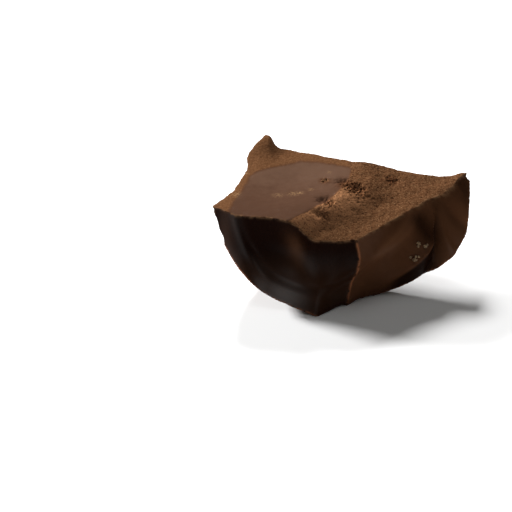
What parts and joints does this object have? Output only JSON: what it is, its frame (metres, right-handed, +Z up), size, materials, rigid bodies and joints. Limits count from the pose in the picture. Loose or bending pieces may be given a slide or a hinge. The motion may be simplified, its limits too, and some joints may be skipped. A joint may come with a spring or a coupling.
{
  "type": "broken chocolate chunk",
  "caption": "Chunk broken from a thick bar of dark chocolate: rough top with a ledge, scooped glossy sides, rounded underside with a flat spot.",
  "frame": {"origin": "centre of the chunk's bounding box, on the surface that it lies on", "axes": "+X along the chunk's longest side, towards its right-hand corner as pictured; +Y away from the camera, towards the corner with the peak; +Z up from the surface that it lies on"},
  "size_m": [0.0618, 0.0471, 0.0237],
  "materials": {
    "dark_chocolate": "dark chocolate: matt grainy breaks, and two glossy shell-shaped ones"
  },
  "bodies": {
    "root": {"chocolate_chunk": "dark_chocolate"}
  },
  "joints": []
}
